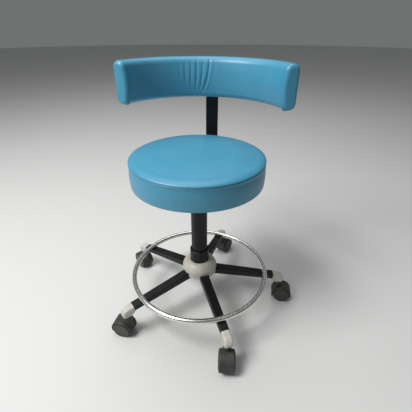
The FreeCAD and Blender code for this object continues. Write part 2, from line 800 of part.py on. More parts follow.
# Tray: a pressed steel pan screwed under the board, with the lift socket and the ears of the lever's pivot.
def make_tray():
    top = "seat_underside - seating_gap"
    flange = "2 * tray_flange"
    block = box("tray_block", "tray_length", "tray_width", f"{top} - tray_bottom", ("0", "0", "tray_bottom"))
    brim_at = ("0", "0", f"{top} - tray_wall")
    brim = box("tray_brim", f"tray_length + {flange}", f"tray_width + {flange}", "tray_wall", brim_at)
    floor = "tray_bottom + tray_wall"
    wall = "2 * tray_wall"
    inside_at = ("0", "0", floor)
    inside = box("tray_inside", f"tray_length - {wall}", f"tray_width - {wall}", "seat_band", inside_at)
    pan = cut("tray_pan", fuse("tray_pressing", block, brim), inside)
    socket_at = ("0", "0", "socket_bottom")
    socket = cylinder("tray_socket", "socket_diameter / 2", "socket_top - socket_bottom", socket_at)
    ear_height = f"lever_pivot_height + ear_length / 2 - ({floor})"
    ears = []
    for side in (-1, 1):
        ear_at = ("lever_pivot", f"{side} * (ear_spacing + ear_thickness) / 2", f"{floor} - touch_gap")
        ears.append(box("tray_ear", "ear_length", "ear_thickness", ear_height, ear_at))
    bore = cylinder("tray_bore", "cylinder_radius + seating_gap", "cylinder_plug", socket_at)
    pivot_at = ("lever_pivot", "-ear_spacing", "lever_pivot_height")
    pivot = cylinder("tray_pivot", "lever_pin_diameter / 2 + running_gap", "2 * ear_spacing", pivot_at, "y")
    slot_at = ("tray_length / 2", "0", "lever_pivot_height - lever_slot_drop - lever_slot_height / 3")
    slot = box("tray_slot", "4 * tray_wall", "lever_slot_width", "lever_slot_height", slot_at)
    flange_places = seat_screw_places()[:4]
    holes = screw_holes("tray_hole", flange_places, "touch_gap", f"{top} - 2 * tray_wall", "4 * tray_wall")
    tray = cut("seat_tray", fuse("tray_welded", pan, socket, *ears), bore, pivot, slot, *holes)
    node(tray, "seat_tray")
    length = "tray_wall + seat_screw_reach"
    seat_screw = screw(
        "seat_screw", "seat_screw_diameter", "seat_screw_head_diameter", "seat_screw_head", length
    )
    places = [point((x, y, f"{top} - tray_wall - seating_gap")) for x, y in seat_screw_places()]
    node(copies("seat_screws", seat_screw, [Placement(at, Rotation()) for at in places]), "seat_screws")


# Lift lever: a steel rod with a welded cross pin and a moulded grip, which tips on the tray's ears and
# presses the release pin.
def make_lever():
    tilt = Rotation(Vector(0, 1, 0), value("lever_slope"))
    frame = Placement(point(("lever_pivot", "0", "lever_pivot_height")), tilt)
    rod = cylinder("lever_bar", "lever_radius", "lever_inner + lever_outer", ("-lever_inner", "0", "0"), "x")
    half = "(ear_spacing / 2 + ear_thickness)"
    pivot = cylinder("lever_cross_pin", "lever_pin_diameter / 2", f"2 * {half}", ("0", f"-{half}", "0"), "y")
    node(copies("lever_rod", fuse("lever_welded", rod, pivot), [frame]), "lever_rod")
    bore, side, end = "lever_radius + seating_gap", "lever_grip_diameter / 2", "lever_grip_end"
    grip = [
        (bore, "0"),
        (f"{side} - {end}", "0"),
        (side, end, end, 1),
        (side, f"lever_grip_length - {end}"),
        (f"{side} - {end}", "lever_grip_length", end, 1),
        ("0", "lever_grip_length"),
        ("0", "lever_grip_grasp + touch_gap"),
        (bore, "lever_grip_grasp + touch_gap"),
    ]
    on_rod = Placement(point(("lever_outer - lever_grip_grasp", "0", "0")), ALONG["x"])
    node(copies("lever_grip", revolved("grip", grip), [frame.multiply(on_rod)]), "lever_grip")


# Clamp knobs: a fluted plastic head moulded on a steel stud, whose tip presses on the flat bar.
def make_knobs():
    neck_top = "stud_length - knob_neck - knob_grasp"
    head_top = f"{neck_top} + knob_neck"
    stud = cylinder("stud", "stud_radius", "stud_length", ("0", "0", "-stud_length"))
    neck_at = ("0", "0", f"-({head_top}) - weld_sink")
    neck = cylinder("knob_neck", "knob_neck_diameter / 2", "knob_neck + weld_sink", neck_at)
    head_at = ("0", "0", f"-({head_top}) - knob_height")
    head = cylinder("knob_head", "knob_diameter / 2", "knob_height", head_at)
    hole_at = ("0", "0", "-stud_length - touch_gap")
    hole = cylinder("knob_hole", "stud_radius + seating_gap", "stud_length", hole_at)
    flute_at = ("knob_diameter / 2 + knob_flute_diameter / 5", "0", f"-({head_top}) - 2 * knob_height")
    flute = cylinder("knob_flute", "knob_flute_diameter / 2", "3 * knob_height", flute_at)
    flute_turns = [turned_about_column(360 / KNOB_FLUTES * index) for index in range(KNOB_FLUTES)]
    flutes = copies("knob_flutes", flute, flute_turns)
    knob = cut("knob", fuse("knob_moulding", neck, head), hole, flutes)
    under_bar = Placement(point(("0", "knob_station", "bar_under - free_gap")), Rotation())
    behind_bar = Placement(point(("0", "bar_rear + free_gap", "back_middle")), ALONG["-y"])
    for name, spot in (("depth", under_bar), ("back", behind_bar)):
        node(copies(f"{name}_stud", stud, [spot]), f"{name}_stud")
        node(copies(f"{name}_knob", knob, [spot]), f"{name}_knob")


# Bar guide: a flat steel sleeve screwed under the board behind the tray, in which the bar slides.
def make_bar_guide():
    top = "seat_underside - seating_gap"
    middle = "guide_start + guide_length / 2"
    clear = "2 * free_gap"
    block_at = ("0", middle, "guide_bottom")
    block_width = f"bar_width + {clear} + 2 * guide_wall"
    block = box("guide_block", block_width, "guide_length", f"{top} - guide_bottom", block_at)
    wing_at = ("0", "knob_station", f"{top} - guide_wall")
    wing = box("guide_wings", "guide_wing", "guide_wing_length", "guide_wall", wing_at)
    boss_at = ("0", "knob_station", "guide_bottom - stud_boss")
    boss = cylinder("guide_boss", "stud_boss_diameter / 2", "stud_boss + weld_sink", boss_at)
    slot_at = ("0", middle, "bar_under - free_gap")
    slot = box("guide_slot", f"bar_width + {clear}", "2 * guide_length", f"bar_thickness + {clear}", slot_at)
    hole = cylinder("guide_thread", "stud_radius + running_gap", "stud_boss + guide_wall + tool_run", boss_at)
    wing_places = seat_screw_places()[4:]
    holes = screw_holes("guide_hole", wing_places, "touch_gap", f"{top} - 2 * guide_wall", "4 * guide_wall")
    node(cut("bar_guide", fuse("guide_welded", block, wing, boss), slot, hole, *holes), "bar_guide")


# Flat bar: one steel strip bent up behind the seat, which carries the backrest.
def make_back_bar():
    outer_bend = "bar_bend + bar_thickness"
    corners = [
        ("bar_inner_end", "bar_under"),
        (f"bar_rear - ({outer_bend})", "bar_under"),
        ("bar_rear", f"bar_under + {outer_bend}", outer_bend, 1),
        ("bar_rear", "bar_top"),
        ("bar_front", "bar_top"),
        ("bar_front", "bar_over + bar_bend"),
        ("bar_front - bar_bend", "bar_over", "bar_bend", -1),
        ("bar_inner_end", "bar_over"),
    ]
    body = padded_plate("back_bar", "YZ_Plane", corners, "bar_width")
    round_edges(body, "bar_round", lambda edge: edge.BoundBox.XLength < 1e-6)
    node(body, "back_bar")


def back_screw_places():
    across, up = "bracket_screw_across / 2", "bracket_screw_up / 2"
    return [(f"{a} * {across}", f"back_middle + {b} * {up}") for a in (-1, 1) for b in (-1, 1)]


def back_holes(name, gap, depth):
    """Drill cylinders for the backrest's screws, from behind the bracket to a depth in front of it."""
    start = "bar_front - free_gap"
    radius = f"seat_screw_diameter / 2 + {gap}"
    length = f"{depth} + seat_screw_head"
    return [
        cylinder(name, radius, length, (x, f"{start} - ({depth})", z), "y") for x, z in back_screw_places()
    ]


# Back bracket: a steel sleeve on the bar with a curved plate that the backrest is screwed to.
def make_back_bracket():
    bottom = "back_middle - bracket_height / 2"
    clear = "2 * free_gap"
    depth = "sleeve_rear - sleeve_front"
    sleeve_at = ("0", "(sleeve_front + sleeve_rear) / 2", bottom)
    sleeve_width = f"bar_width + {clear} + 2 * bracket_wall"
    sleeve = box("bracket_sleeve", sleeve_width, depth, "bracket_height", sleeve_at)
    plate_depth = "4 * bracket_wall"
    plate_at = ("0", f"bar_front - free_gap - ({plate_depth}) / 2", bottom)
    plate = box("bracket_plate", "bracket_width", plate_depth, "bracket_height", plate_at)
    boss_at = ("0", "sleeve_rear - weld_sink", "back_middle")
    boss = cylinder("bracket_boss", "stud_boss_diameter / 2", "stud_boss + weld_sink", boss_at, "y")
    pad_space = cylinder("bracket_pad_space", "back_outer_radius + touch_gap", "2 * back_top")
    slot_at = ("0", "(bar_front + bar_rear) / 2", "back_bottom - bracket_height")
    slot_width, slot_depth = f"bar_width + {clear}", f"bar_thickness + {clear}"
    slot = box("bracket_slot", slot_width, slot_depth, "4 * bracket_height", slot_at)
    thread_at = ("0", "bar_rear", "back_middle")
    thread = cylinder("bracket_thread", "stud_radius + running_gap", "4 * stud_boss", thread_at, "y")
    holes = back_holes("bracket_hole", "touch_gap", plate_depth)
    welded = fuse("bracket_welded", sleeve, plate, boss)
    node(cut("back_bracket", welded, pad_space, slot, thread, *holes), "back_bracket")
    length = "back_screw_length"
    back_screw = screw(
        "back_screw", "seat_screw_diameter", "seat_screw_head_diameter", "seat_screw_head", length
    )
    face = "bar_front - free_gap + seating_gap"
    spots = [Placement(point((x, face, z)), ALONG["-y"]) for x, z in back_screw_places()]
    node(copies("back_screws", back_screw, spots), "back_screws")


def back_form(name, inset):
    """The rounded arc of the backrest, drawn in evenly by inset."""
    low, high = f"back_bottom + {inset}", f"back_top - {inset}"
    front, rear = f"back_inner_radius + {inset}", f"back_outer_radius - {inset}"
    front_round, rear_round = f"(back_front_round - {inset})", f"(back_rear_round - {inset})"
    face = f"{front} + back_crown"
    half = f"({high} - ({low}) - 2 * {front_round}) / 2"
    crown_round = f"(({half})^2 + back_crown^2) / (2 * back_crown)"
    corners = [
        (f"{rear} - {rear_round}", low),
        (rear, f"{low} + {rear_round}", rear_round, 1),
        (rear, f"{high} - {rear_round}"),
        (f"{rear} - {rear_round}", high, rear_round, 1),
        (f"{face} + {front_round}", high),
        (face, f"{high} - {front_round}", front_round, 1),
        (face, f"{low} + {front_round}", crown_round, 1),
        (f"{face} + {front_round}", low, front_round, 1),
    ]
    end_turn = f"(back_half_span - 180 / pi * {inset} / back_outer_radius)"
    body = revolved(name, corners, "YZ_Plane", f"2 * {end_turn}")
    to_end = Rotation(UP, value(end_turn))

    def on_end(edge):
        ends = [edge.valueAt(parameter) for parameter in edge.ParameterRange]
        return all(abs(to_end.multVec(Vector(abs(spot.x), spot.y, 0)).x) < 1e-4 for spot in ends)

    round_edges(body, f"back_end_round - {inset}", on_end)
    return body


# Backrest: a curved plywood board in foam, covered all round in vinyl.
def make_backrest():
    rear = "back_outer_radius - back_board_depth"
    low, high = "back_bottom + back_board_margin", "back_top - back_board_margin"
    curve = [(f"{rear} - back_board", low), (rear, low), (rear, high), (f"{rear} - back_board", high)]
    span = "2 * (back_half_span - back_board_span_margin)"
    board = revolved("back_curve", curve, "YZ_Plane", span)
    reach = "back_screw_length + touch_gap"
    node(cut("back_board", board, *back_holes("back_board_hole", "seating_gap", reach)), "back_board")
    inside = back_form("back_inside", "cover_thickness")
    outside = back_form("back_outside", "0")
    foam_holes = back_holes("back_foam_hole", "touch_gap", reach)
    node(cut("back_foam", inside, board, *foam_holes), "back_foam")
    cover_holes = back_holes("back_cover_hole", "touch_gap", reach)
    node(cut("back_cover", outside, inside, *cover_holes), "back_cover")


# Casters: a moulded hood on a swivel stem, with two wheels on one axle that trails behind the stem.
def make_casters():
    axle_bore = "axle_diameter / 2 + running_gap"
    hub, rim = "wheel_hub_diameter / 2", "wheel_radius - wheel_rim"
    face = "wheel_width - wheel_dish"
    wheel = [
        ("0", "wheel_width - wheel_face"),
        (axle_bore, "wheel_width - wheel_face"),
        (axle_bore, "0"),
        (hub, "0"),
        (hub, "wheel_recess"),
        (rim, "wheel_recess"),
        (rim, "0"),
        ("wheel_radius - wheel_bevel", "0"),
        ("wheel_radius", "wheel_bevel"),
        ("wheel_radius", "wheel_width - tread_round"),
        ("wheel_radius - tread_round", "wheel_width", "tread_round", 1),
        (f"{rim} - wheel_dish", "wheel_width"),
        (f"{rim} - 2 * wheel_dish", face),
        ("0", face),
    ]
    wheel_body = revolved("wheel", wheel)
    axle_at = ("caster_trail", "-axle_half", "wheel_radius")
    drum_at = ("caster_trail", "-hood_width / 2", "wheel_radius")
    drum = cylinder("hood_drum", "hood_radius", "hood_width", drum_at, "y")
    keep_at = ("caster_trail", "0", "wheel_radius - hood_drop")
    keep = box("hood_keep", "3 * hood_radius", "2 * hood_width", "2 * hood_radius", keep_at)
    dome = doc.addObject("Part::Common", "hood_dome")
    dome.Base = drum
    dome.Tool = keep
    doc.recompute()
    soft = doc.addObject("Part::Fillet", "hood_soft")
    soft.Base = dome
    radius = value("hood_round")
    edges = enumerate(dome.Shape.Edges, 1)
    curved = [number for number, edge in edges if edge.Curve.TypeId == "Part::GeomCircle"]
    soft.Edges = [(number, radius, radius) for number in curved]
    boss = doc.addObject("Part::Cone", "hood_boss")
    boss.setExpression("Radius1", bound("boss_root_radius"))
    boss.setExpression("Radius2", bound("boss_diameter / 2"))
    boss.setExpression("Height", bound("caster_height - wheel_radius"))
    place(boss, ("0", "0", "wheel_radius"), "z")
    spaces = []
    for along, side in (("y", 1), ("-y", -1)):
        space_at = ("caster_trail", f"{side} * hood_web / 2", "wheel_radius")
        spaces.append(cylinder("hood_space", "hood_bore", "hood_width", space_at, along))
    hole_at = ("caster_trail", "-hood_width", "wheel_radius")
    axle_hole = cylinder("hood_axle_hole", "axle_diameter / 2 + seating_gap", "2 * hood_width", hole_at, "y")
    bore_at = ("0", "0", "caster_height - stem_pin_length - free_gap")
    bore = cylinder("hood_bore", "stem_pin_diameter / 2 + running_gap", "2 * stem_pin_length", bore_at)
    hood = cut("hood", fuse("hood_moulding", soft, boss), *spaces, axle_hole, bore)
    axle = cylinder("axle", "axle_diameter / 2", "2 * axle_half", axle_at, "y")
    flange, stem = "stem_flange_diameter / 2", "stem_diameter / 2"
    flange_bottom = "caster_height + free_gap - seating_gap"
    stem_profile = [
        ("0", "caster_height - stem_pin_length"),
        ("stem_pin_diameter / 2", "caster_height - stem_pin_length"),
        ("stem_pin_diameter / 2", flange_bottom),
        (flange, flange_bottom),
        (flange, "cap_underside - seating_gap"),
        (stem, "cap_underside - seating_gap"),
        (stem, "cap_underside + stem_length"),
        ("0", "cap_underside + stem_length"),
    ]
    stem_body = revolved("stem", stem_profile)
    on_circle = Placement(point(("caster_circle_radius", "0", "0")), Rotation())
    stands = [turn.multiply(on_circle) for turn in leg_turns]
    node(copies("caster_stems", stem_body, stands), "caster_stems")
    sides = (("right", 1, "y"), ("left", -1, "-y"))
    for number, (stand, yaw) in enumerate(zip(stands, CASTER_YAWS), 1):
        spot = Placement(stand.Base, Rotation(UP, yaw))
        node(copies(f"caster_{number}_hood", hood, [spot]), f"caster_{number}_hood")
        node(copies(f"caster_{number}_axle", axle, [spot]), f"caster_{number}_axle")
        for side, sign, along in sides:
            wheel_at = point(("caster_trail", f"{sign} * wheel_spacing / 2", "wheel_radius"))
            on_axle = Placement(wheel_at, ALONG[along])
            name = f"caster_{number}_wheel_{side}"
            node(copies(name, wheel_body, [spot.multiply(on_axle)]), name)


make_hub_tube()
make_legs()
make_leg_caps()
make_foot_ring()
make_hub_cover()
make_gas_lift()
make_seat()
make_tray()
make_lever()
make_knobs()
make_bar_guide()
make_back_bar()
make_back_bracket()
make_backrest()
make_casters()
doc.recompute()

failed = [item.Name for item in doc.Objects if {"Invalid", "Error"} & set(item.State)]
failed += [piece.Label for piece in nodes if piece.Shape.isNull() or not piece.Shape.isValid()]
if failed:
    raise RuntimeError(f"these objects failed: {failed}")
os.makedirs("parts", exist_ok=True)
for piece in nodes:
    piece.Shape.exportStep(f"parts/{piece.Label}.step")
    print(piece.Label, len(piece.Shape.Solids), round(piece.Shape.Volume))
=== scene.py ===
import math

import bmesh
import bpy
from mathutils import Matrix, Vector


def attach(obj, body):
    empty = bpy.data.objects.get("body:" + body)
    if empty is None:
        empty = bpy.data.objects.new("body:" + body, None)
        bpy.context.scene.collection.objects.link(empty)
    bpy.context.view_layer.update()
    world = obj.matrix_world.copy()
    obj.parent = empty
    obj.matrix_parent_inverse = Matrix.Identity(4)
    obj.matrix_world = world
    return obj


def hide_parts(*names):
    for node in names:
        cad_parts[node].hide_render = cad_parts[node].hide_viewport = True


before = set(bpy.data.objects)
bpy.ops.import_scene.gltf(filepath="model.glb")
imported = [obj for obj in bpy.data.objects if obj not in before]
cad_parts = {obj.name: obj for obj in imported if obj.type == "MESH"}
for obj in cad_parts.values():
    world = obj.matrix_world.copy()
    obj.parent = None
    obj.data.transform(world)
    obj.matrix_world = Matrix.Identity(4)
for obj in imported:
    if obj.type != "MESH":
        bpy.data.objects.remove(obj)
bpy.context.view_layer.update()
MM = 0.001

# Casters: five moulded hoods on zinc-plated swivel stems, each with two wheels on one trailing axle.
# The hoods are ABS with a fine spark-eroded grain, the wheels are turned from harder, smoother nylon,
# and the stems press into the leg caps.
CASTERS = range(1, 6)
WHEEL_SIDES = ("left", "right")
HOOD_GREY = "#343230"
HOOD_DUST = "#4c4945"
WHEEL_GREY = "#34322f"
WHEEL_SCUFF = "#5a5650"
ZINC = "#a9a9a6"


def linear(colour):
    """The linear red, green, blue and alpha of an sRGB hex colour."""
    channels = [int(colour[start:start + 2], 16) / 255 for start in (1, 3, 5)]
    return [c / 12.92 if c <= 0.04045 else ((c + 0.055) / 1.055) ** 2.4 for c in channels] + [1]


def add_node(material, kind, settings, links=None, feeds=None):
    """Adds a shader node: settings are properties or socket values, links its inputs, feeds a socket."""
    tree = material.node_tree
    added = tree.nodes.new(kind)
    for name, setting in settings.items():
        if name in added.bl_rna.properties:
            setattr(added, name, setting)
        else:
            added.inputs[name].default_value = setting
    for name, output in (links or {}).items():
        tree.links.new(output, added.inputs[name])
    if feeds:
        tree.links.new(added.outputs[0], feeds)
    return added


def new_finish(name, settings):
    """A material named for its finish; returns it, its surface shader and its coordinates in metres."""
    material = bpy.data.materials.new(name)
    material.use_nodes = True
    shader = material.node_tree.nodes["Principled BSDF"]
    for socket, setting in settings.items():
        shader.inputs[socket].default_value = setting
    place = add_node(material, "ShaderNodeTexCoord", {}).outputs["Object"]
    return material, shader.inputs, place


def dress(material, names):
    """Gives pieces of the frame their finish."""
    for name in names:
        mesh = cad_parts[name].data
        mesh.materials.clear()
        mesh.materials.append(material)


# Moulded ABS: an even matt grain of about 1.2 mm, drawn coarser than the real 0.3 mm so that it shows,
# and pale dust that lies in patches of some 20 mm.
hood_abs, surface, place = new_finish("abs_spark_grain_grey", {"IOR": 1.5})
grain = add_node(hood_abs, "ShaderNodeTexNoise", {"Scale": 1 / (1.2 * MM), "Detail": 3}, {"Vector": place})
add_node(hood_abs, "ShaderNodeBump", {"Strength": 0.35, "Distance": 0.1 * MM},
         {"Height": grain.outputs["Fac"]}, surface["Normal"])
dust = add_node(hood_abs, "ShaderNodeTexNoise", {"Scale": 1 / (20 * MM), "Detail": 5}, {"Vector": place})
cover = add_node(hood_abs, "ShaderNodeMapRange", {"From Min": 0.45, "From Max": 0.75},
                 {"Value": dust.outputs["Fac"]})
add_node(hood_abs, "ShaderNodeMixRGB", {"Color1": linear(HOOD_GREY), "Color2": linear(HOOD_DUST)},
         {"Fac": cover.outputs[0]}, surface["Base Color"])
add_node(hood_abs, "ShaderNodeMapRange", {"To Min": 0.5, "To Max": 0.72},
         {"Value": dust.outputs["Fac"]}, surface["Roughness"])
dress(hood_abs, [f"caster_{number}_hood" for number in CASTERS])

# Nylon: smooth from the mould, with dull scuffs of a few millimetres where it runs on the floor.
wheel_nylon, surface, place = new_finish("nylon_moulded_grey", {"IOR": 1.53})
scuff = add_node(wheel_nylon, "ShaderNodeTexNoise", {"Scale": 1 / (6 * MM), "Detail": 6, "Roughness": 0.7},
                 {"Vector": place})
worn = add_node(wheel_nylon, "ShaderNodeMapRange", {"From Min": 0.5, "From Max": 0.8},
                {"Value": scuff.outputs["Fac"]})
add_node(wheel_nylon, "ShaderNodeMixRGB", {"Color1": linear(WHEEL_GREY), "Color2": linear(WHEEL_SCUFF)},
         {"Fac": worn.outputs[0]}, surface["Base Color"])
add_node(wheel_nylon, "ShaderNodeMapRange", {"To Min": 0.34, "To Max": 0.6},
         {"Value": worn.outputs[0]}, surface["Roughness"])
add_node(wheel_nylon, "ShaderNodeBump", {"Strength": 0.3, "Distance": 0.08 * MM},
         {"Height": scuff.outputs["Fac"]}, surface["Normal"])
dress(wheel_nylon, [f"caster_{number}_wheel_{side}" for number in CASTERS for side in WHEEL_SIDES])

# Zinc-plated steel: a dull bright metal, with the crystals of the plating as cloudy spots of about 3 mm.
zinc_steel, surface, place = new_finish("steel_zinc_plated", {"Base Color": linear(ZINC), "Metallic": 1})
crystals = add_node(zinc_steel, "ShaderNodeTexVoronoi", {"Scale": 1 / (3 * MM)}, {"Vector": place})
add_node(zinc_steel, "ShaderNodeMapRange", {"To Min": 0.24, "To Max": 0.42},
         {"Value": crystals.outputs["Distance"]}, surface["Roughness"])
add_node(zinc_steel, "ShaderNodeBump", {"Strength": 0.2, "Distance": 0.05 * MM},
         {"Height": crystals.outputs["Distance"]}, surface["Normal"])
dress(zinc_steel, ["caster_stems", *(f"caster_{number}_axle" for number in CASTERS)])

# Leg end caps and hub cover: cream ABS mouldings. The caps are pushed into the leg tubes and hold the
# caster stems, and the cover drops over the welded joint of the legs and is slotted for them.
CREAM = "#c5c2b9"
CREAM_AGED = "#b5b0a2"

# Glossy moulded ABS: smooth, a little yellowed in clouds of 30 mm, with faint flow marks of 4 mm.
cream_abs, surface, place = new_finish("abs_moulded_cream", {"IOR": 1.53})
age = add_node(cream_abs, "ShaderNodeTexNoise", {"Scale": 1 / (30 * MM), "Detail": 5}, {"Vector": place})
yellowed = add_node(cream_abs, "ShaderNodeMapRange", {"From Min": 0.4, "From Max": 0.75},
                    {"Value": age.outputs["Fac"]})
add_node(cream_abs, "ShaderNodeMixRGB", {"Color1": linear(CREAM), "Color2": linear(CREAM_AGED)},
         {"Fac": yellowed.outputs[0]}, surface["Base Color"])
flow = add_node(cream_abs, "ShaderNodeTexNoise", {"Scale": 1 / (4 * MM), "Detail": 3}, {"Vector": place})
add_node(cream_abs, "ShaderNodeMapRange", {"To Min": 0.34, "To Max": 0.5},
         {"Value": flow.outputs["Fac"]}, surface["Roughness"])
add_node(cream_abs, "ShaderNodeBump", {"Strength": 0.15, "Distance": 0.1 * MM},
         {"Height": flow.outputs["Fac"]}, surface["Normal"])
dress(cream_abs, ["leg_caps", "hub_cover"])

# Legs, hub tube and column: steel tube, the legs tapered and welded to the hub in a star, the column
# wedged in it. All are stove enamelled black, as are the steel pieces under the seat and the flat bar.
ENAMEL_BLACK = "#111112"
ENAMEL_RUBBED = "#1e1e1f"

# Black stove enamel: a hard satin gloss with the orange peel of sprayed paint, ripples of about 2 mm,
# and a paler bloom in patches of 40 mm where hands and shoes have rubbed it.
black_enamel, surface, place = new_finish("enamel_stoved_black", {"Specular IOR Level": 0.3})
rub = add_node(black_enamel, "ShaderNodeTexNoise", {"Scale": 1 / (40 * MM), "Detail": 6, "Roughness": 0.6},
               {"Vector": place})
bloom = add_node(black_enamel, "ShaderNodeMapRange", {"From Min": 0.45, "From Max": 0.75},
                 {"Value": rub.outputs["Fac"]})
add_node(black_enamel, "ShaderNodeMixRGB", {"Color1": linear(ENAMEL_BLACK), "Color2": linear(ENAMEL_RUBBED)},
         {"Fac": bloom.outputs[0]}, surface["Base Color"])
add_node(black_enamel, "ShaderNodeMapRange", {"To Min": 0.34, "To Max": 0.5},
         {"Value": rub.outputs["Fac"]}, surface["Roughness"])
peel = add_node(black_enamel, "ShaderNodeTexNoise", {"Scale": 1 / (2 * MM), "Detail": 2}, {"Vector": place})
add_node(black_enamel, "ShaderNodeBump", {"Strength": 0.12, "Distance": 0.1 * MM},
         {"Height": peel.outputs["Fac"]}, surface["Normal"])
dress(black_enamel, ["hub_tube", "column_tube", *(f"leg_{number}" for number in CASTERS)])

# Foot ring: round steel tube bent to a circle and chromed, screwed down on the five legs from below.
# The cylinder of the gas lift, which shows below the seat when that is raised, is chromed as well.
CHROME = "#ebebe8"

# Chrome plate on brushed steel: a bright satin, with smears of about 15 mm that dull it a little.
chrome_plate, surface, place = new_finish("steel_chrome_plated",
                                          {"Base Color": linear(CHROME), "Metallic": 1})
smear = add_node(chrome_plate, "ShaderNodeTexNoise", {"Scale": 1 / (15 * MM), "Detail": 5},
                 {"Vector": place})
add_node(chrome_plate, "ShaderNodeMapRange", {"To Min": 0.18, "To Max": 0.34},
         {"Value": smear.outputs["Fac"]}, surface["Roughness"])
dress(chrome_plate, ["foot_ring", "gas_cylinder"])
dress(zinc_steel, ["foot_ring_screws"])

# Works of the gas lift: an acetal guide bush and piston, a rubber buffer, and the steel rod, clip, bearing
# and release pin. They sit inside the column, and the rod carries the seat's cylinder.
ACETAL_BLACK = "#222223"
RUBBER_BLACK = "#1a1a1a"
# A wave texture of scale 1 has about three bands to the metre.
WAVE_UNIT = 1 / 3

# Acetal: a black, waxy plastic with turning marks about 0.8 mm apart.
black_acetal, surface, place = new_finish("acetal_turned_black",
                                          {"Base Color": linear(ACETAL_BLACK), "IOR": 1.48})
turning = add_node(black_acetal, "ShaderNodeTexWave",
                   {"bands_direction": "Z", "Scale": WAVE_UNIT / (0.8 * MM)}, {"Vector": place})
add_node(black_acetal, "ShaderNodeBump", {"Strength": 0.15, "Distance": 0.05 * MM},
         {"Height": turning.outputs["Fac"]}, surface["Normal"])
add_node(black_acetal, "ShaderNodeMapRange", {"To Min": 0.36, "To Max": 0.5},
         {"Value": turning.outputs["Fac"]}, surface["Roughness"])
dress(black_acetal, ["guide_bush", "piston"])

# Rubber: dead matt, with a bloom in spots of 5 mm.
buffer_rubber, surface, place = new_finish("rubber_moulded_black", {"Base Color": linear(RUBBER_BLACK)})
spots = add_node(buffer_rubber, "ShaderNodeTexNoise", {"Scale": 1 / (5 * MM), "Detail": 4},
                 {"Vector": place})
add_node(buffer_rubber, "ShaderNodeMapRange", {"To Min": 0.7, "To Max": 0.95},
         {"Value": spots.outputs["Fac"]}, surface["Roughness"])
dress(buffer_rubber, ["rod_buffer"])
dress(zinc_steel, ["thrust_bearing", "piston_rod", "rod_clip", "release_pin"])

# Tray, lever and screws under the seat: a pressed and enamelled steel pan holds the lift cylinder, and a
# plated rod with a moulded grip tips on its ears to press the release pin.
dress(black_enamel, ["seat_tray"])
dress(zinc_steel, ["lever_rod", "seat_screws"])
GRIP_BLACK = "#1e1e1f"
GRIP_WORN = "#2a2a2b"

# Black polypropylene: moulded with a pebble grain of about 1 mm.
grip_plastic, surface, place = new_finish("polypropylene_pebbled_black", {"IOR": 1.49})
pebbles = add_node(grip_plastic, "ShaderNodeTexVoronoi", {"Scale": 1 / (1 * MM)}, {"Vector": place})
add_node(grip_plastic, "ShaderNodeBump", {"Strength": 0.3, "Distance": 0.12 * MM},
         {"Height": pebbles.outputs["Distance"]}, surface["Normal"])
add_node(grip_plastic, "ShaderNodeMapRange", {"To Min": 0.4, "To Max": 0.6},
         {"Value": pebbles.outputs["Distance"]}, surface["Roughness"])
add_node(grip_plastic, "ShaderNodeMixRGB", {"Color1": linear(GRIP_BLACK), "Color2": linear(GRIP_WORN)},
         {"Fac": pebbles.outputs["Distance"]}, surface["Base Color"])
dress(grip_plastic, ["lever_grip"])

# Seat board: a disc of birch plywood, 12 mm of eight veneers, screwed to the tray from below.
VENEER = 1.5
BIRCH = "#c8a878"
BIRCH_DARK = "#9a7648"

# Birch plywood: pale, with long grain about 3 mm wide on the faces and the veneers as bands on the edge.
birch_ply, surface, place = new_finish("birch_plywood_raw", {"IOR": 1.5})
stretch = add_node(birch_ply, "ShaderNodeMapping", {"Scale": (1, 0.06, 1)}, {"Vector": place})
fibres = add_node(birch_ply, "ShaderNodeTexNoise", {"Scale": 1 / (3 * MM), "Detail": 6},
                  {"Vector": stretch.outputs[0]})
veneers = add_node(birch_ply, "ShaderNodeTexWave",
                   {"bands_direction": "Z", "Scale": WAVE_UNIT / (2 * VENEER * MM)}, {"Vector": place})
figure = add_node(birch_ply, "ShaderNodeMath", {"operation": "MULTIPLY"},
                  {0: fibres.outputs["Fac"], 1: veneers.outputs["Fac"]})
add_node(birch_ply, "ShaderNodeMixRGB", {"Color1": linear(BIRCH), "Color2": linear(BIRCH_DARK)},
         {"Fac": figure.outputs[0]}, surface["Base Color"])
add_node(birch_ply, "ShaderNodeMapRange", {"To Min": 0.55, "To Max": 0.75},
         {"Value": fibres.outputs["Fac"]}, surface["Roughness"])
dress(birch_ply, ["seat_board"])

# Seat upholstery: a round foam cushion on the board under a vinyl cover. The crowned top panel is sewn to
# an upright band, and the band is pulled down tight and turned under the board.
SEAT_RADIUS = 183.0
SEAM_HEIGHT = 526.6
CROWN_HEIGHT = 544.0
EDGE_HEIGHT = 539.0
EDGE_START = 160.0
EDGE_FALL = 6.0
EDGE_CURVE = 2.4
BOARD_RADIUS = 183.0
SIDE_BULGE = 5.5
PATCH = 64
SEAT_RINGS = 22
PATCH_SHARE = 0.5
PATCH_ROUND = 0.65
# A closing of a ring: how far each step goes to the middle, and the number of points that one face takes.
CLOSE_STEP = 0.4
CLOSE_LAST = 10
# The cloth: frames of the simulation, and how often each point's move is shared with its neighbours.
CLOTH_FRAMES = 20
SHARE_ROUNDS = 14
# The puckers of the top panel: depth all round and what the left side has more, height above the seam and
# reach in millimetres, how far round the left side they go in radians, and their two numbers of waves.
PUCKER = 0.08
PUCKER_LEFT = 0.42
PUCKER_RISE = 4
PUCKER_REACH = 5
PUCKER_SPREAD = 0.3
PUCKER_WAVES = (82, 53)
# The painted shade along the seam groove of the seat, a darker line to each side of it in millimetres.
SEAM_SHADE_REACH = 1.4
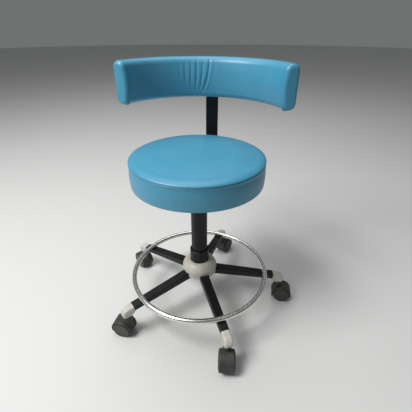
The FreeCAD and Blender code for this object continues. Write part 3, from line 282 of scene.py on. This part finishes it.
# Profile outwards and down from the top panel, as (radius, height): the rolled edge, the ridge of the seam
# between two grooves, the band, its turned-under hem and the foam on the board.
BAND = [
    (184.8, 531.6), (185.8, 530.0), (186.1, 528.6), (185.7, 527.6), (184.9, 527.0), (184.8, 526.5),
    (185.5, 526.1), (186.0, 525.5), (186.0, 524.8), (185.5, 524.1), (185.0, 523.0), (184.7, 521.4),
    (184.6, 519.4), (184.8, 517.0), (185.2, 513.6), (185.8, 509.5), (186.3, 504.5), (186.6, 498.5),
    (186.7, 492.0), (186.6, 485.0), (186.3, 478.5), (185.9, 472.5), (185.6, 468.0), (185.3, 465.0),
    (184.8, 462.6), (183.4, 461.2), (180.5, 460.9), (176.5, 461.0), (172.0, 461.3), (171.3, 462.0),
    (172.0, 462.7), (178.0, 462.9), (182.9, 463.0), (183.1, 469.0), (183.1, 475.2), (150.0, 475.3),
    (90.0, 475.3), (30.0, 475.3),
]
VINYL = "#3587a6"
VINYL_PALE = "#4a95b2"
# Darker teal for the seam lines: painted shade in the seam grooves.
VINYL_SEAM_SHADE = "#2e7593"


def top_height(radius):
    """Height of the top panel before it is stuffed, at a distance from the middle of the seat."""
    if radius <= EDGE_START:
        return CROWN_HEIGHT - (CROWN_HEIGHT - EDGE_HEIGHT) * (radius / EDGE_START) ** 2
    share = min((radius - EDGE_START) / (SEAT_RADIUS - EDGE_START), 1)
    return EDGE_HEIGHT - EDGE_FALL * share ** EDGE_CURVE


def bulge(turn):
    """How much further the cushion swells on its left side than on its right."""
    return SIDE_BULGE * (1 - math.cos(turn)) / 2


def close_ring(points, faces, ring, middle):
    """Closes a ring of points round a middle, with half as many points at each step inwards."""
    while len(ring) > CLOSE_LAST:
        inner = list(range(len(points), len(points) + len(ring) // 2))
        for index in ring[::2]:
            points.append(tuple(p + (m - p) * CLOSE_STEP for p, m in zip(points[index], middle)))
        for step, (here, after) in enumerate(zip(inner, inner[1:] + inner[:1])):
            corner, next_corner = ring[2 * step + 1], ring[(2 * step + 2) % len(ring)]
            faces.append((ring[2 * step], corner, here))
            faces.append((corner, next_corner, after, here))
        ring = inner
    faces.append(tuple(ring))


def shell_mesh(name, points, faces):
    """A closed mesh, with its faces turned outwards, from points in millimetres."""
    mesh = bpy.data.meshes.new(name)
    mesh.from_pydata([Vector(point) * MM for point in points], [], faces)
    shell = bmesh.new()
    shell.from_mesh(mesh)
    bmesh.ops.recalc_face_normals(shell, faces=shell.faces)
    shell.to_mesh(mesh)
    shell.free()
    return mesh


def patch_border():
    """Grid corners round the middle patch, in order."""
    border = [(index, 0) for index in range(PATCH)]
    border += [(PATCH, index) for index in range(PATCH)]
    border += [(PATCH - index, PATCH) for index in range(PATCH)]
    return border + [(0, PATCH - index) for index in range(PATCH)]


def seat_mesh():
    """The cover as quads: a square patch in the middle of the top, rings out to the seam, then the band."""
    points = []
    faces = []
    half = PATCH_SHARE * SEAT_RADIUS
    for row in range(PATCH + 1):
        for column in range(PATCH + 1):
            u, v = 2 * column / PATCH - 1, 2 * row / PATCH - 1
            x = half * ((1 - PATCH_ROUND) * u + PATCH_ROUND * u * math.sqrt(1 - v * v / 2))
            y = half * ((1 - PATCH_ROUND) * v + PATCH_ROUND * v * math.sqrt(1 - u * u / 2))
            points.append((x, y, top_height(math.hypot(x, y))))
    for row in range(PATCH):
        for column in range(PATCH):
            corner = row * (PATCH + 1) + column
            faces.append((corner, corner + 1, corner + PATCH + 2, corner + PATCH + 1))
    last = [row * (PATCH + 1) + column for column, row in patch_border()]
    count = len(last)
    starts = [points[index] for index in last]
    turns = [math.radians(-135 + 360 * index / count) for index in range(count)]
    rows = []
    for ring in range(1, SEAT_RINGS + 1):
        share = ring / SEAT_RINGS
        row = []
        for start, turn in zip(starts, turns):
            x = start[0] + (SEAT_RADIUS * math.cos(turn) - start[0]) * share
            y = start[1] + (SEAT_RADIUS * math.sin(turn) - start[1]) * share
            wider = 1 + bulge(turn) / SEAT_RADIUS * share
            row.append((x * wider, y * wider, top_height(math.hypot(x, y))))
        rows.append(row)
    for radius, height in BAND:
        row = []
        for turn in turns:
            out = radius + (bulge(turn) if radius > BOARD_RADIUS + 0.2 else 0)
            row.append((out * math.cos(turn), out * math.sin(turn), height))
        rows.append(row)
    for row in rows:
        first = len(points)
        points.extend(row)
        following = list(range(first, first + count))
        for index in range(count):
            after = (index + 1) % count
            faces.append((last[index], following[index], following[after], last[after]))
        last = following
    close_ring(points, faces, last, (0, 0, BAND[-1][1]))
    return shell_mesh("seat_upholstery", points, faces)


def even(moves, edges, rounds):
    """Shares each point's move with its neighbours, so that the smallest wrinkles of the cloth go."""
    for _ in range(rounds):
        sums = [move.copy() for move in moves]
        counts = [1] * len(moves)
        for start, end in edges:
            sums[start] += moves[end]
            sums[end] += moves[start]
            counts[start] += 1
            counts[end] += 1
        moves = [total / count for total, count in zip(sums, counts)]
    return moves


def stuff(piece, held, pressure, cap):
    """Swells a cover by a cloth simulation; held gives each point's hold, and no point moves past cap."""
    before = [vertex.co.copy() for vertex in piece.data.vertices]
    group = piece.vertex_groups.new(name="held")
    for vertex in piece.data.vertices:
        group.add([vertex.index], held(vertex.co), "REPLACE")
    cloth = piece.modifiers.new("cover", "CLOTH")
    settings = cloth.settings
    settings.quality = 6
    settings.mass = 0.4
    settings.tension_stiffness = 60
    settings.compression_stiffness = 60
    settings.shear_stiffness = 30
    settings.bending_stiffness = 12
    settings.use_pressure = True
    settings.uniform_pressure_force = pressure
    settings.vertex_group_mass = group.name
    settings.effector_weights.gravity = 0
    cloth.collision_settings.use_collision = False
    for moment in range(1, CLOTH_FRAMES + 1):
        bpy.context.scene.frame_set(moment)
    swollen = piece.evaluated_get(bpy.context.evaluated_depsgraph_get()).data
    after = [vertex.co.copy() for vertex in swollen.vertices]
    piece.modifiers.remove(cloth)
    piece.vertex_groups.remove(group)
    bpy.context.scene.frame_set(1)
    moves = []
    for old, new in zip(before, after):
        move = new - old
        moves.append(move * min(1, cap / max(move.length, 1e-9)))
    edges = [tuple(edge.vertices) for edge in piece.data.edges]
    for vertex, old, move in zip(piece.data.vertices, before, even(moves, edges, SHARE_ROUNDS)):
        vertex.co = old + move


def held_by_seam(co):
    """Full hold up to the rolled edge, then less and less over the next millimetres of the top panel."""
    return min(1, max(0, (EDGE_HEIGHT - 1 - co.z / MM) / EDGE_FALL))


def refine(piece, levels):
    """Divides a finished cover into smooth, smaller faces."""
    modifier = piece.modifiers.new("smooth", "SUBSURF")
    modifier.levels = levels
    mesh = bpy.data.meshes.new_from_object(piece.evaluated_get(bpy.context.evaluated_depsgraph_get()))
    piece.modifiers.remove(modifier)
    old = piece.data
    piece.data = mesh
    bpy.data.meshes.remove(old)
    mesh.name = piece.name
    mesh.polygons.foreach_set("use_smooth", [True] * len(mesh.polygons))


def pucker(piece):
    """Draws the edge of the top panel into small waves at the seam, deepest on the left side."""
    for vertex in piece.data.vertices:
        x, y, z = vertex.co / MM
        radius = math.hypot(x, y)
        if z < SEAM_HEIGHT or radius < EDGE_START:
            continue
        turn = math.atan2(y, x)
        near = math.exp(-((z - SEAM_HEIGHT - PUCKER_RISE) / PUCKER_REACH) ** 2)
        left = math.exp(-((abs(turn) - math.pi) / PUCKER_SPREAD) ** 2)
        many, few = PUCKER_WAVES
        wave = math.sin(many * turn + 2 * math.sin(7 * turn)) + 0.5 * math.sin(few * turn + 1)
        move = (PUCKER + PUCKER_LEFT * left) * near * wave
        vertex.co += Vector((x / radius, y / radius, 0.5)) * move * MM


# Soft vinyl: a leather print with cells of about 2 mm, drawn coarser than the real 0.8 mm so that it shows,
# a satin skin, clouds of colour 70 mm wide and a darker line of painted shade along the seam grooves.
teal_vinyl, surface, place = new_finish("vinyl_leather_print_teal", {"IOR": 1.5, "Coat Weight": 0.25,
                                                                    "Coat Roughness": 0.36})
clouds = add_node(teal_vinyl, "ShaderNodeTexNoise", {"Scale": 1 / (70 * MM), "Detail": 4}, {"Vector": place})
tone = add_node(teal_vinyl, "ShaderNodeMixRGB", {"Color1": linear(VINYL), "Color2": linear(VINYL_PALE)},
                {"Fac": clouds.outputs["Fac"]})
# Painted shade: the seam attribute mixes a darker teal into the vinyl along the seam grooves of the seat and
# the backrest.
seam_shade = add_node(teal_vinyl, "ShaderNodeAttribute", {"attribute_name": "seam"})
add_node(teal_vinyl, "ShaderNodeMixRGB", {"Color2": linear(VINYL_SEAM_SHADE)},
         {"Fac": seam_shade.outputs["Fac"], "Color1": tone.outputs[0]}, surface["Base Color"])
cells = add_node(teal_vinyl, "ShaderNodeTexVoronoi", {"Scale": 1 / (2 * MM), "feature": "DISTANCE_TO_EDGE"},
                 {"Vector": place})
creases = add_node(teal_vinyl, "ShaderNodeTexNoise", {"Scale": 1 / (14 * MM), "Detail": 4},
                   {"Vector": place})
fine = add_node(teal_vinyl, "ShaderNodeBump", {"Strength": 0.1, "Distance": 0.1 * MM},
                {"Height": cells.outputs["Distance"]})
add_node(teal_vinyl, "ShaderNodeBump", {"Strength": 0.12, "Distance": 1 * MM},
         {"Height": creases.outputs["Fac"], "Normal": fine.outputs[0]}, surface["Normal"])
add_node(teal_vinyl, "ShaderNodeMapRange", {"To Min": 0.36, "To Max": 0.5},
         {"Value": creases.outputs["Fac"]}, surface["Roughness"])

seat_cover = bpy.data.objects.new("seat_upholstery", seat_mesh())
bpy.context.scene.collection.objects.link(seat_cover)
stuff(seat_cover, held_by_seam, pressure=2.5, cap=2 * MM)
refine(seat_cover, 1)
pucker(seat_cover)
# Painted shade along the seat's seam groove: a darker line to each side of the seam height.
seam = seat_cover.data.attributes.new("seam", "FLOAT", "POINT")
for vertex, mark in zip(seat_cover.data.vertices, seam.data):
    on_side = math.hypot(vertex.co.x, vertex.co.y) > (SEAT_RADIUS - 2) * MM
    mark.value = max(0, 1 - abs(vertex.co.z / MM - SEAM_HEIGHT) / SEAM_SHADE_REACH) if on_side else 0
seat_cover.data.materials.append(teal_vinyl)
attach(seat_cover, "seat")
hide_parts("seat_cover", "seat_foam")

# Bar guide and clamp knobs: an enamelled steel sleeve screwed under the board, in which the flat bar
# slides, and two fluted plastic knobs moulded on plated studs that clamp the bar and the backrest.
dress(black_enamel, ["bar_guide"])
dress(zinc_steel, ["depth_stud", "back_stud"])
dress(grip_plastic, ["depth_knob", "back_knob"])

# Flat bar and back bracket: a steel strip bent up behind the seat, and the sleeve with its plate that
# slides on it and is screwed to the backrest. Both are enamelled black.
dress(black_enamel, ["back_bar", "back_bracket"])
dress(zinc_steel, ["back_screws"])
dress(birch_ply, ["back_board"])

# Backrest upholstery: a curved plywood board wrapped in foam and vinyl. The vinyl goes round the pad in one
# piece, sewn to a panel at each end, and it gathers in upright creases in the middle of the hollow side.
BACK_INNER = 211.0
BACK_OUTER = 256.5
BACK_FLARE = 16.0
BACK_BOTTOM = 643.5
BACK_TOP = 761.5
BACK_SPAN = 69.0
FRONT_ROUND = 20.0
REAR_ROUND = 17.0
END_ROUND = 12.0
BACK_CROWN = 4.0
STATIONS = 150
ROUND_STEPS = 7
END_STEPS = 12
# Points along the rear, top, front and underside of the section, between its rounded corners.
RUN_STEPS = (18, 3, 20, 3)
# The end panel: how far its rings go to the middle, and the height at top and bottom that they leave out.
PANEL_STEPS = (0.25, 0.5)
PANEL_MARGIN = 28
# The end seams: depth, width and painted shade; the ear at the lower corner: drop, place and size.
SEAM_DRAW = 0.9
SEAM_WIDTH = 1.3
END_SEAM_SHADE = 0.7
EAR_DROP = 4.0
EAR_BEHIND = 13
EAR_ABOVE = 4
EAR_SIZE = 6
BACK_MIDDLE = (BACK_INNER + BACK_OUTER) / 2 + BACK_FLARE
BACK_RUN = math.radians(BACK_SPAN) * BACK_MIDDLE - END_ROUND
END_SEAM = BACK_RUN - 0.1 * END_ROUND
# Creases: angle at the top and how far it leans by the lower end, upper and lower height, depth, width.
CREASES = [
    (-0.6, -5.0, 748, 662, 2.3, 3.6),
    (-5.6, -2.0, 744, 672, 1.3, 3.0),
    (-10.0, -1.2, 747, 668, 1.7, 3.2),
    (-14.4, -0.6, 745, 680, 1.2, 3.0),
    (-19.0, 0.4, 744, 690, 0.9, 3.4),
    (-23.4, 0.8, 742, 700, 0.5, 3.6),
    (3.5, 0.6, 742, 705, 0.5, 3.2),
]
# How far a crease's ridges stand from it, in widths, and their share of its depth.
RIDGE_APART = 1.9
RIDGE_SHARE = 0.45
# Where a crease begins above its upper height and ends below its lower one, as shares of its length, and
# the shares over which it fades in and out.
CREASE_BEGIN = -0.15
CREASE_END = 1.1
FADE_IN = 0.3
FADE_OUT = 0.5


def back_section():
    """The pad's cross-section as (radius, height, outward radius, outward height), round from below."""
    front, rear = BACK_INNER + BACK_CROWN, BACK_OUTER
    corners = [
        (rear - REAR_ROUND, BACK_BOTTOM + REAR_ROUND, REAR_ROUND, -90),
        (rear - REAR_ROUND, BACK_TOP - REAR_ROUND, REAR_ROUND, 0),
        (front + FRONT_ROUND, BACK_TOP - FRONT_ROUND, FRONT_ROUND, 90),
        (front + FRONT_ROUND, BACK_BOTTOM + FRONT_ROUND, FRONT_ROUND, 180),
    ]
    section = []
    for index, (radius, height, size, start) in enumerate(corners):
        for step in range(ROUND_STEPS + 1):
            turn = math.radians(start + 90 * step / ROUND_STEPS)
            out = (math.cos(turn), math.sin(turn))
            section.append((radius + size * out[0], height + size * out[1], *out))
        corner = corners[(index + 1) % 4]
        turn = math.radians(corner[3])
        target = (corner[0] + corner[2] * math.cos(turn), corner[1] + corner[2] * math.sin(turn))
        origin = section[-1]
        for step in range(1, RUN_STEPS[index]):
            share = step / RUN_STEPS[index]
            bow = BACK_CROWN * (1 - (2 * share - 1) ** 2) if index == 2 else 0
            radius = origin[0] + (target[0] - origin[0]) * share - bow
            section.append((radius, origin[1] + (target[1] - origin[1]) * share, origin[2], origin[3]))
    return section


def back_mesh():
    """The cover as quads round the section, from end panel to end panel."""
    section = back_section()
    size = len(section)
    rings = []
    for side in (-1, 1):
        ending = []
        for step in range(END_STEPS + 1):
            turn = math.radians(90 * step / END_STEPS)
            along = side * (BACK_RUN + END_ROUND * math.sin(turn))
            ending.append((along, END_ROUND * (1 - math.cos(turn)), 0))
        ending += [(side * (BACK_RUN + END_ROUND), END_ROUND, share) for share in PANEL_STEPS]
        rings.append(ending)
    between = [(-BACK_RUN + 2 * BACK_RUN * step / STATIONS, 0, 0) for step in range(1, STATIONS)]
    stations = rings[0][::-1] + between + rings[1]
    points = []
    faces = []
    for along, inset, share in stations:
        angle = along / BACK_MIDDLE
        for radius, height, out, up in section:
            r, z = radius + BACK_FLARE - inset * out, height - inset * up
            r += (BACK_MIDDLE - r) * share
            z += (min(max(z, BACK_BOTTOM + PANEL_MARGIN), BACK_TOP - PANEL_MARGIN) - z) * share
            points.append((r * math.sin(angle), r * math.cos(angle) - BACK_FLARE, z))
    for ring in range(len(stations) - 1):
        for index in range(size):
            after = (index + 1) % size
            faces.append((ring * size + index, ring * size + after, (ring + 1) * size + after,
                          (ring + 1) * size + index))
    for first in (0, len(points) - size):
        ring = list(range(first, first + size))
        middle = [sum(points[index][axis] for index in ring) / size for axis in range(3)]
        close_ring(points, faces, ring, middle)
    return shell_mesh("back_upholstery", points, faces)


def on_arc(co):
    """Radius, angle in degrees and height of a point of the backrest, round the middle of its curve."""
    x, y, z = co / MM
    return math.hypot(x, y + BACK_FLARE), math.degrees(math.atan2(x, y + BACK_FLARE)), z


def held_on_board(co):
    """Full hold on the rear side and the end panels, none on the stuffed front, top and bottom."""
    radius, angle, _ = on_arc(co)
    past_seam = math.radians(abs(angle)) * BACK_MIDDLE > END_SEAM
    return 1 if past_seam or radius > BACK_OUTER + BACK_FLARE - REAR_ROUND else 0


def gather(piece):
    """Presses the creases into the hollow side of the backrest, with a soft ridge beside each."""
    for vertex in piece.data.vertices:
        radius, angle, z = on_arc(vertex.co)
        if radius > BACK_MIDDLE or abs(angle) > 40:
            continue
        push = 0
        for top_angle, lean, high, low, depth, width in CREASES:
            down = (high - z) / (high - low)
            if not CREASE_BEGIN < down < CREASE_END:
                continue
            fade = min(1, max(0, (down - CREASE_BEGIN) / FADE_IN), max(0, (CREASE_END - down) / FADE_OUT))
            away = math.radians(angle - top_angle - lean * max(down, 0) ** 2) * radius / width
            ridges = math.exp(-(away - RIDGE_APART) ** 2) + math.exp(-(away + RIDGE_APART) ** 2)
            push += depth * fade * (math.exp(-away ** 2) - RIDGE_SHARE * ridges)
        outward = Vector((math.sin(math.radians(angle)), math.cos(math.radians(angle)), 0))
        vertex.co += outward * push * MM


def sew_ends(piece):
    """Draws in the seam of each end panel with a line of painted shade along it, and a small ear of cover at
    its lower front corner.
    """
    seam = piece.data.attributes.new("seam", "FLOAT", "POINT")
    normals = [vertex.normal.copy() for vertex in piece.data.vertices]
    for vertex, normal, mark in zip(piece.data.vertices, normals, seam.data):
        radius, angle, z = on_arc(vertex.co)
        away = math.radians(abs(angle)) * BACK_MIDDLE - END_SEAM
        line = math.exp(-(away / SEAM_WIDTH) ** 2)
        # Painted shade along the end seam groove.
        mark.value = END_SEAM_SHADE * line
        vertex.co -= normal * line * SEAM_DRAW * MM
        ear = (0, BACK_INNER + BACK_FLARE + EAR_BEHIND, BACK_BOTTOM + EAR_ABOVE)
        corner = math.dist((away, radius, z), ear)
        vertex.co += Vector((0, 0, -1)) * EAR_DROP * math.exp(-(corner / EAR_SIZE) ** 2) * MM


back_cover = bpy.data.objects.new("back_upholstery", back_mesh())
bpy.context.scene.collection.objects.link(back_cover)
stuff(back_cover, held_on_board, pressure=2, cap=2.5 * MM)
refine(back_cover, 1)
gather(back_cover)
sew_ends(back_cover)
back_cover.data.materials.append(teal_vinyl)
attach(back_cover, "backrest")
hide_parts("back_cover", "back_foam")

# Studio floor: a wide, plain, pale painted floor, with a pale room above it.
FLOOR_PALE = "#d6d7d5"
FLOOR_RADIUS = 14
floor_mesh = bpy.data.meshes.new("studio_floor")
disc = bmesh.new()
bmesh.ops.create_circle(disc, cap_ends=True, segments=96, radius=FLOOR_RADIUS)
disc.to_mesh(floor_mesh)
disc.free()
floor = bpy.data.objects.new("studio_floor", floor_mesh)
bpy.context.scene.collection.objects.link(floor)
floor_paint, surface, place = new_finish("floor_paint_pale",
                                         {"Base Color": linear(FLOOR_PALE), "Roughness": 0.7})
roller = add_node(floor_paint, "ShaderNodeTexNoise", {"Scale": 1 / (8 * MM), "Detail": 2}, {"Vector": place})
add_node(floor_paint, "ShaderNodeBump", {"Strength": 0.05, "Distance": 0.2 * MM},
         {"Height": roller.outputs["Fac"]}, surface["Normal"])
floor_mesh.materials.append(floor_paint)

# Studio light: a soft lamp high on the left of the front, a wide one overhead at the back and a dim room.
ROOM_PALE = "#dfe1e2"
ROOM_STRENGTH = 0.22
scene = bpy.context.scene
scene.view_settings.view_transform = "Standard"
room = bpy.data.worlds.new("pale_room")
room.use_nodes = True
room.node_tree.nodes["Background"].inputs["Color"].default_value = linear(ROOM_PALE)
room.node_tree.nodes["Background"].inputs["Strength"].default_value = ROOM_STRENGTH
scene.world = room
AIM = Vector((0, 0, 0.45))
# Lamps: name, place and width in metres, power in watts.
LAMPS = [
    ("key_lamp", (-1.45, -1.0, 2.7), 1.3, 90),
    ("overhead_lamp", (-0.4, 1.0, 3.7), 2.4, 44),
]
for name, spot, size, power in LAMPS:
    lamp = bpy.data.lights.new(name, "AREA")
    lamp.size = size
    lamp.energy = power
    holder = bpy.data.objects.new(name, lamp)
    holder.location = spot
    holder.rotation_euler = (AIM - Vector(spot)).to_track_quat("-Z", "Y").to_euler()
    scene.collection.objects.link(holder)

# Camera: a little above the backrest and to the right of the front, looking down, as in the photograph.
CAMERA_PLACE = (0.1502, -0.8102, 0.854)
CAMERA_DOWN = 30.3
CAMERA_TURN = 9.03
lens = bpy.data.cameras.new("camera")
lens.sensor_width = 36
lens.lens = 27.7
camera = bpy.data.objects.new("camera", lens)
camera.location = CAMERA_PLACE
camera.rotation_euler = (math.radians(90 - CAMERA_DOWN), 0, math.radians(CAMERA_TURN))
scene.collection.objects.link(camera)
scene.camera = camera
